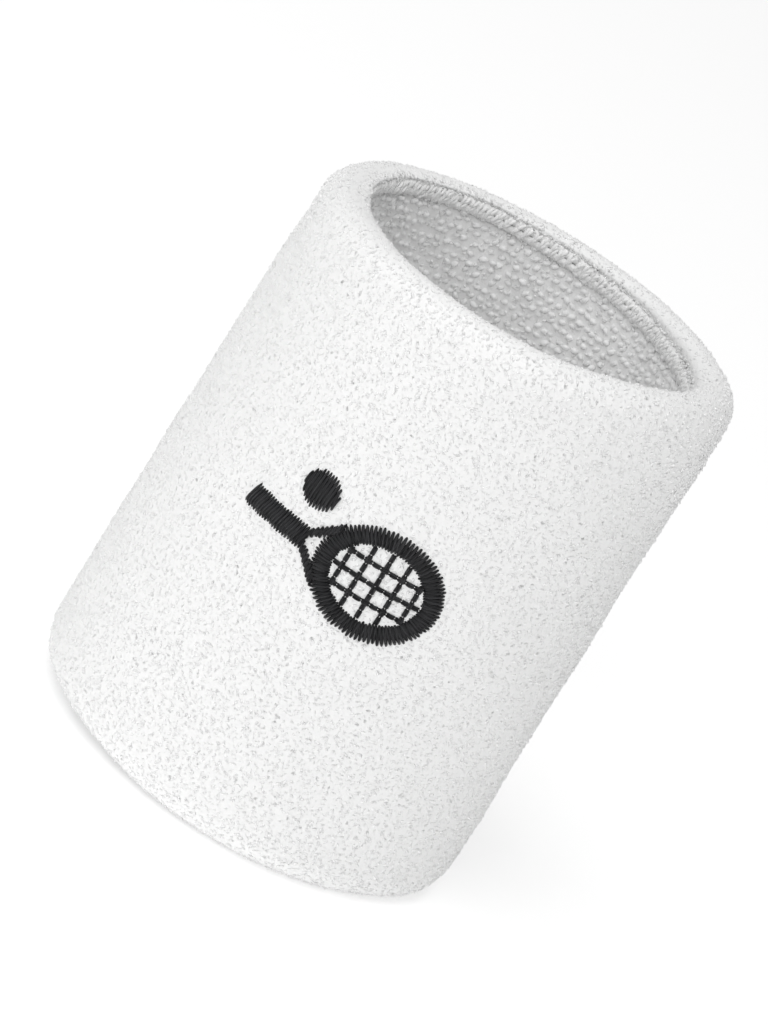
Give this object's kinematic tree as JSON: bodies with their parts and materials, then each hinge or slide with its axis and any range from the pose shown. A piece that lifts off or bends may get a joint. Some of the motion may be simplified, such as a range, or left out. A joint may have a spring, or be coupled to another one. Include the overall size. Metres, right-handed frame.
{
  "type": "sweat wristband",
  "caption": "Short tube of double terry cloth that slips over the wrist to soak up sweat, with a seam inside its top fold and a racket and ball embroidered on the front.",
  "frame": {"origin": "middle of the flat under the lower fold, on the band's axis", "axes": "+Z along the band's axis, from the lower fold to the fold beside the seam; -Y out of the embroidered front; +X to the right of the front"},
  "size_m": [0.062, 0.062, 0.08],
  "materials": {
    "terry": "white cotton terry, soft matt loops",
    "ground_knit": "plain white knit, matt",
    "elastic": "white covered elastic yarn, slight sheen",
    "seam_cloth": "cut terry edges, matt",
    "seam_thread": "white textured overlock thread, soft",
    "embroidery_thread": "black satin stitch, silky sheen along the thread",
    "bobbin_thread": "white bobbin thread, slight sheen",
    "backing": "thin non-woven backing, matt"
  },
  "bodies": {
    "root": {"outer_terry": "terry", "inner_terry": "terry", "bottom_fold_terry": "terry", "top_fold_terry": "terry", "ground_knit": "ground_knit", "outer_elastic_yarn": "elastic", "inner_elastic_yarn": "elastic", "seam_edge_upper": "seam_cloth", "seam_edge_lower": "seam_cloth", "seam_upper_looper_thread": "seam_thread", "seam_lower_looper_thread": "seam_thread", "seam_needle_thread": "seam_thread", "racket_hoop_stitching": "embroidery_thread", "racket_throat_upper_stitching": "embroidery_thread", "racket_throat_lower_stitching": "embroidery_thread", "racket_handle_stitching": "embroidery_thread", "racket_string_stitching": "embroidery_thread", "ball_stitching": "embroidery_thread", "racket_underlay_stitching": "embroidery_thread", "ball_underlay_stitching": "embroidery_thread", "racket_bobbin_thread": "bobbin_thread", "ball_bobbin_thread": "bobbin_thread", "embroidery_backing": "backing"}
  },
  "joints": []
}
